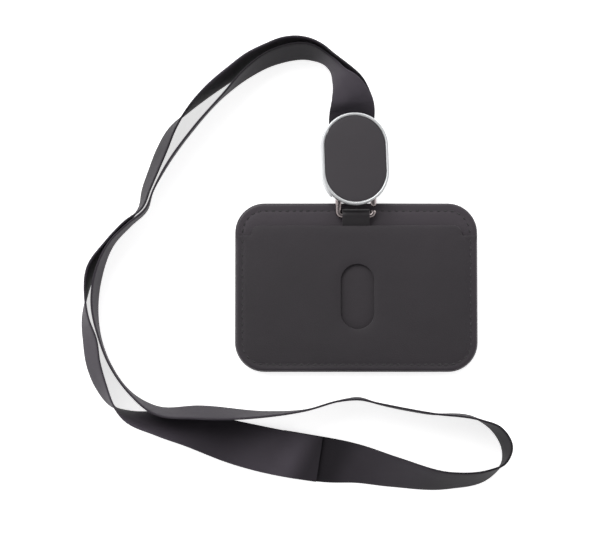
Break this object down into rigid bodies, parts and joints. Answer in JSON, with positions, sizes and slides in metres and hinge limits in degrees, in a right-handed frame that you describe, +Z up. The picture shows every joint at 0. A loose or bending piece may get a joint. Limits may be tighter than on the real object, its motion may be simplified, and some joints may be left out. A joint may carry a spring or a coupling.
{
  "type": "card holder lanyard",
  "caption": "Leather card holder hung by a wire ring from a retractable cord reel, on a long loop of flat satin strap, lying flat.",
  "frame": {"origin": "on the table, under the middle of the reel and card holder together", "axes": "+Z up from the table, +Y from the card holder towards the reel and the neck loop, +X to the right"},
  "size_m": [0.1689, 0.1776, 0.0182],
  "materials": {
    "leather": "fine grained, semi-matte charcoal",
    "lining": "plain dark board",
    "thread": "twisted polyester thread",
    "satin": "satin ribbon",
    "bezel_metal": "satin silver",
    "inlay": "smooth matte charcoal",
    "housing": "fine moulded texture",
    "spool_plastic": "natural acetal",
    "steel": "bright drawn",
    "ring_metal": "polished gunmetal",
    "cord_nylon": "braided nylon"
  },
  "bodies": {
    "reel": {"bezel": "bezel_metal", "face_inlay": "inlay", "front_housing": "housing", "rear_cover": "housing", "axle_post": "steel", "axle_screw": "steel", "mainspring": "steel", "outlet_eyelet": "steel", "strap_pin": "steel", "strap_fold": "satin", "strap_outer": "satin", "strap_inner": "satin"},
    "spool": {"spool": "spool_plastic", "wound_cord": "cord_nylon"},
    "pull": {"cord_ferrule": "steel", "pull_cord": "cord_nylon"},
    "ring": {"ring": "ring_metal"},
    "holder": {"back_panel": "leather", "middle_panel": "leather", "pocket_spacer": "lining", "front_panel": "leather", "ring_tab": "leather", "front_thread": "thread", "top_thread_left": "thread", "top_thread_right": "thread"}
  },
  "joints": [
    {"name": "cord_pull", "type": "slide", "parent": "reel", "child": "pull", "axis": [0, -1, 0], "range_m": [0, 0.6], "stiffness_N_per_m": 1.5, "springref_m": -0.7, "deforming": ["strap_outer", "strap_inner", "mainspring"]},
    {"name": "spool_spin", "type": "hinge", "parent": "reel", "child": "spool", "pos_m": [-0.00157, 0.0376, 0.00085], "axis": [0.0697, 0.0024, 0.9976], "range_deg": [0, 4800]},
    {"name": "ring_swing", "type": "hinge", "parent": "pull", "child": "ring", "pos_m": [-0.0002, 0.02175, 0.0052], "axis": [1, 0, 0], "range_deg": [0, 90]},
    {"name": "holder_fold", "type": "hinge", "parent": "ring", "child": "holder", "pos_m": [-0.0002, 0.0109, 0.0052], "axis": [1, 0, 0], "range_deg": [-105, 10]}
  ],
  "couplings": [
    {"joint": "spool_spin", "follows": "cord_pull", "rad_per_m": 138.9}
  ]
}
